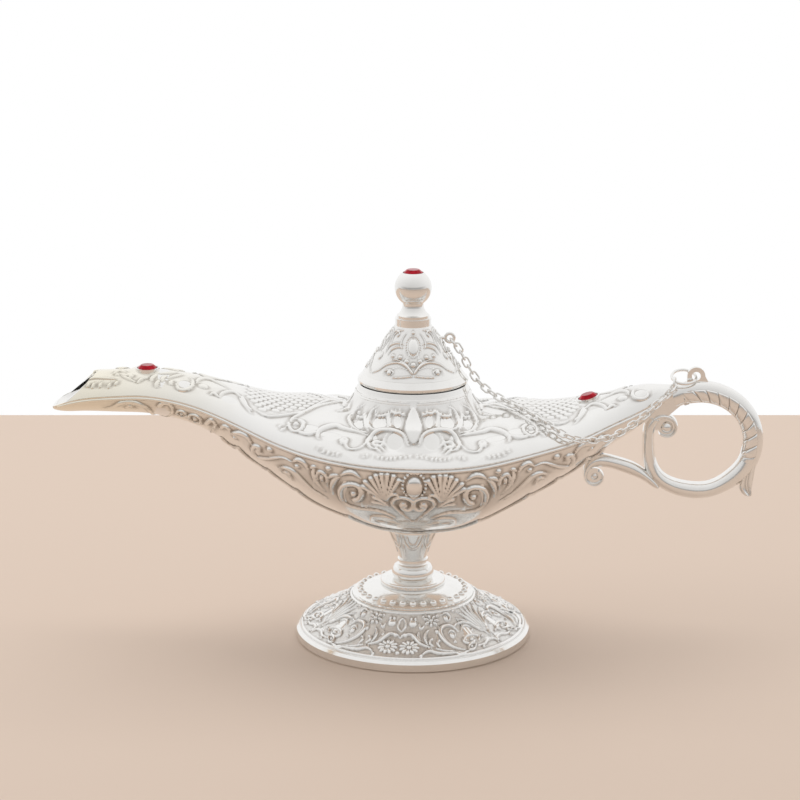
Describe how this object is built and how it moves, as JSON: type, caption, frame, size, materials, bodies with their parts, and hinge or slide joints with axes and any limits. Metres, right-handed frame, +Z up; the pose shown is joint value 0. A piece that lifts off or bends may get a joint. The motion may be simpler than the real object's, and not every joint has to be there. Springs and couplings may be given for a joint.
{
  "type": "genie oil lamp",
  "caption": "Boat-shaped oil lamp on a round foot, with a long spout, a conical lid held by a fine chain, a ring handle and red stones.",
  "frame": {"origin": "centre of the lamp's bounding box at the foot's bottom ring, on the stem's axis to within 1.2 mm", "axes": "+Z up, +X towards the handle, spout towards -X, -Y towards the side seen in the picture"},
  "size_m": [0.2149, 0.0718, 0.1143],
  "materials": {
    "silver_plate": "polished silver plate",
    "chain_wire": "bright plated wire",
    "steel": "bright steel",
    "red_stone": "faceted red acrylic"
  },
  "bodies": {
    "lamp": {"lower_shell": "silver_plate", "upper_shell": "silver_plate", "foot": "silver_plate", "stem_saucer": "silver_plate", "stem_drum": "silver_plate", "stem_collar": "silver_plate", "stem_cup": "silver_plate", "tie_bolt": "steel", "foot_washer": "steel", "bowl_washer": "steel", "bowl_nut": "steel", "handle": "silver_plate", "handle_heel_screw": "steel", "handle_arm_screw": "steel", "spout_stone": "red_stone", "rear_stone": "red_stone"},
    "lid": {"lid_cone": "silver_plate", "finial": "silver_plate", "finial_nut": "steel", "finial_stone": "red_stone", "lid_eyelet": "chain_wire", "lid_ring": "chain_wire", "chain_lid_links": "chain_wire"},
    "lid_chain": {"chain_deck_run": "chain_wire"},
    "handle_chain": {"chain_handle_run": "chain_wire", "handle_ring": "chain_wire"}
  },
  "joints": [
    {"name": "lid_lift", "type": "slide", "parent": "lamp", "child": "lid", "axis": [0, 0, 1], "range_m": [0, 0.02]},
    {"name": "lid_chain_swing", "type": "hinge", "parent": "lid", "child": "lid_chain", "pos_m": [0.01784, -0.00092, 0.0828], "axis": [0, 1, 0], "range_deg": [0, 9.4]},
    {"name": "handle_chain_swing", "type": "hinge", "parent": "lamp", "child": "handle_chain", "pos_m": [0.0853, 0, 0.08135], "axis": [0, 1, 0], "range_deg": [0, 23.4]}
  ],
  "couplings": [
    {"joint": "lid_chain_swing", "follows": "lid_lift", "rad_per_m": 8.071},
    {"joint": "handle_chain_swing", "follows": "lid_lift", "rad_per_m": 20.15}
  ]
}
